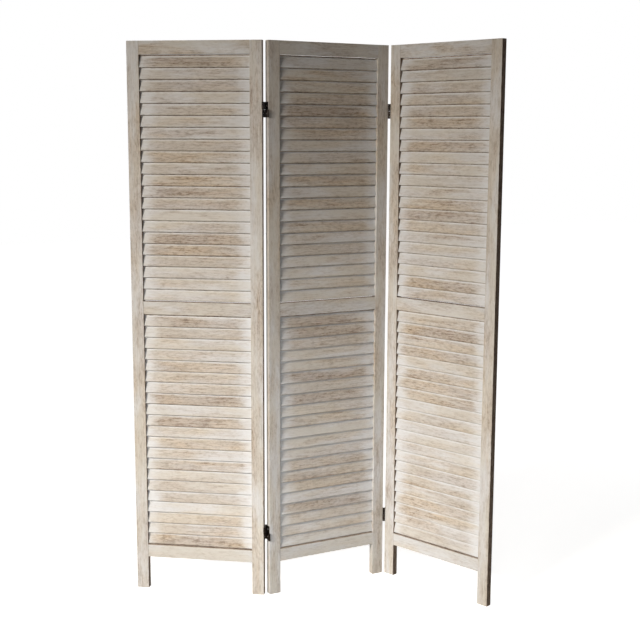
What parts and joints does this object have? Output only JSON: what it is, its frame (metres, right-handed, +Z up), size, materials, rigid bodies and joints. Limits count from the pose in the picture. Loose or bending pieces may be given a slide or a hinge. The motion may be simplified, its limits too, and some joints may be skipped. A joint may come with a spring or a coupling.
{
  "type": "louvred folding room divider",
  "caption": "Free-standing folding room divider of tall louvred wooden panels on short legs, joined edge to edge by double-action hinges.",
  "frame": {"origin": "centre of the floor area that the standing divider covers, on the floor", "axes": "+Z up; +X along the middle panel from the left panel to the right one; front faces towards -Y"},
  "size_m": [0.9148, 0.6568, 1.7],
  "materials": {
    "stile_wood": "whitewashed grey-white paint rubbed back over brown grain, matt",
    "rail_wood": "whitewashed grey-white paint rubbed back over brown grain, matt",
    "slat_wood": "whitewashed grey-white paint worn to tan mid-slat, matt",
    "dowel_wood": "plain turned hardwood",
    "hinge_metal": "dark bronze, satin",
    "hinge_pin": "plain steel",
    "hinge_screw": "zinc-plated steel"
  },
  "bodies": {
    "middle_panel": {"middle_panel_left_stile": "stile_wood", "middle_panel_right_stile": "stile_wood", "middle_panel_top_rail": "rail_wood", "middle_panel_middle_rail": "rail_wood", "middle_panel_bottom_rail": "rail_wood", "middle_panel_upper_slats": "slat_wood", "middle_panel_lower_slats": "slat_wood", "middle_panel_dowels": "dowel_wood", "left_lower_hinge_right_leaf": "hinge_metal", "left_lower_hinge_lower_link": "hinge_metal", "left_lower_hinge_right_pins": "hinge_pin", "left_lower_hinge_right_screws": "hinge_screw", "left_upper_hinge_right_leaf": "hinge_metal", "left_upper_hinge_lower_link": "hinge_metal", "left_upper_hinge_right_pins": "hinge_pin", "left_upper_hinge_right_screws": "hinge_screw", "right_lower_hinge_left_leaf": "hinge_metal", "right_lower_hinge_lower_link": "hinge_metal", "right_lower_hinge_left_pins": "hinge_pin", "right_lower_hinge_left_screws": "hinge_screw", "right_upper_hinge_left_leaf": "hinge_metal", "right_upper_hinge_lower_link": "hinge_metal", "right_upper_hinge_left_pins": "hinge_pin", "right_upper_hinge_left_screws": "hinge_screw"},
    "left_panel": {"left_panel_left_stile": "stile_wood", "left_panel_right_stile": "stile_wood", "left_panel_top_rail": "rail_wood", "left_panel_middle_rail": "rail_wood", "left_panel_bottom_rail": "rail_wood", "left_panel_upper_slats": "slat_wood", "left_panel_lower_slats": "slat_wood", "left_panel_dowels": "dowel_wood", "left_lower_hinge_left_leaf": "hinge_metal", "left_lower_hinge_upper_link": "hinge_metal", "left_lower_hinge_left_pins": "hinge_pin", "left_lower_hinge_left_screws": "hinge_screw", "left_upper_hinge_left_leaf": "hinge_metal", "left_upper_hinge_upper_link": "hinge_metal", "left_upper_hinge_left_pins": "hinge_pin", "left_upper_hinge_left_screws": "hinge_screw"},
    "right_panel": {"right_panel_left_stile": "stile_wood", "right_panel_right_stile": "stile_wood", "right_panel_top_rail": "rail_wood", "right_panel_middle_rail": "rail_wood", "right_panel_bottom_rail": "rail_wood", "right_panel_upper_slats": "slat_wood", "right_panel_lower_slats": "slat_wood", "right_panel_dowels": "dowel_wood", "right_lower_hinge_right_leaf": "hinge_metal", "right_lower_hinge_upper_link": "hinge_metal", "right_lower_hinge_right_pins": "hinge_pin", "right_lower_hinge_right_screws": "hinge_screw", "right_upper_hinge_right_leaf": "hinge_metal", "right_upper_hinge_upper_link": "hinge_metal", "right_upper_hinge_right_pins": "hinge_pin", "right_upper_hinge_right_screws": "hinge_screw"}
  },
  "joints": [
    {"name": "left_fold", "type": "hinge", "parent": "middle_panel", "child": "left_panel", "pos_m": [-0.11276, 0.08583, 0.2], "axis": [0, 0, -1], "range_deg": [-36.5, 143.5]},
    {"name": "right_fold", "type": "hinge", "parent": "middle_panel", "child": "right_panel", "pos_m": [0.30184, 0.06023, 0.2], "axis": [0, 0, -1], "range_deg": [-71, 109]}
  ]
}
